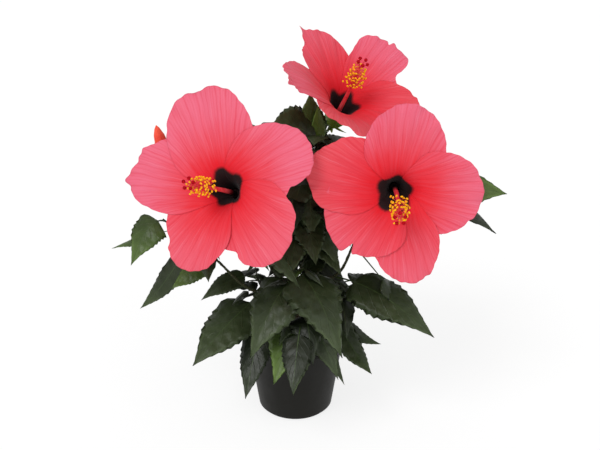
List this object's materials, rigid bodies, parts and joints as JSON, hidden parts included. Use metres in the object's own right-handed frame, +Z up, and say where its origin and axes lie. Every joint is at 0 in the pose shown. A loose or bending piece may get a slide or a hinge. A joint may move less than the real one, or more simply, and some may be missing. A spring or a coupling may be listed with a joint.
{
  "type": "potted hibiscus shrub",
  "caption": "Small potted shrub with wide open coral blooms, a bud and dark pointed leaves on short boughs, standing in a plain round black pot.",
  "frame": {"origin": "centre of the pot's flat underside, where it stands", "axes": "+Z up along the pot's axis; the open blooms look towards -Y; +X to the right as one faces the blooms"},
  "size_m": [0.3906, 0.2763, 0.3985],
  "materials": {
    "pot": "satin black plastic",
    "soil": "dark crumbly potting soil",
    "bark": "thin grey-brown bark, greenish on young wood",
    "leaf": "glossy dark green leaf",
    "stem": "soft green stem",
    "petal": "satin coral petal with fine veins and a dark eye",
    "column": "red column with golden pollen"
  },
  "bodies": {
    "root": {"pot": "pot", "soil": "soil", "trunk": "bark", "bough_left": "bark", "bough_low_left": "bark", "bough_front": "bark", "bough_front_low": "bark", "bough_low_right": "bark", "bough_right": "bark", "bough_centre": "bark", "bough_back_left": "bark", "bough_back_right": "bark", "bough_back": "bark", "bloom_left_petal_1": "petal", "bloom_left_petal_2": "petal", "bloom_left_petal_3": "petal", "bloom_left_petal_4": "petal", "bloom_left_petal_5": "petal", "bloom_left_column": "column", "bloom_left_calyx": "stem", "bloom_right_petal_1": "petal", "bloom_right_petal_2": "petal", "bloom_right_petal_3": "petal", "bloom_right_petal_4": "petal", "bloom_right_petal_5": "petal", "bloom_right_column": "column", "bloom_right_calyx": "stem", "bloom_top_petal_1": "petal", "bloom_top_petal_2": "petal", "bloom_top_petal_3": "petal", "bloom_top_petal_4": "petal", "bloom_top_petal_5": "petal", "bloom_top_column": "column", "bloom_top_calyx": "stem", "bud": "petal", "bud_calyx": "stem", "stalk_left": "stem", "stalk_right": "stem", "stalk_top": "stem", "bud_stalk": "stem", "foliage_left": "leaf", "foliage_low_left": "leaf", "foliage_front": "leaf", "foliage_front_low": "leaf", "foliage_low_right": "leaf", "foliage_right": "leaf", "foliage_centre": "leaf", "foliage_back_left": "leaf", "foliage_back_right": "leaf", "foliage_back": "leaf"}
  },
  "joints": []
}
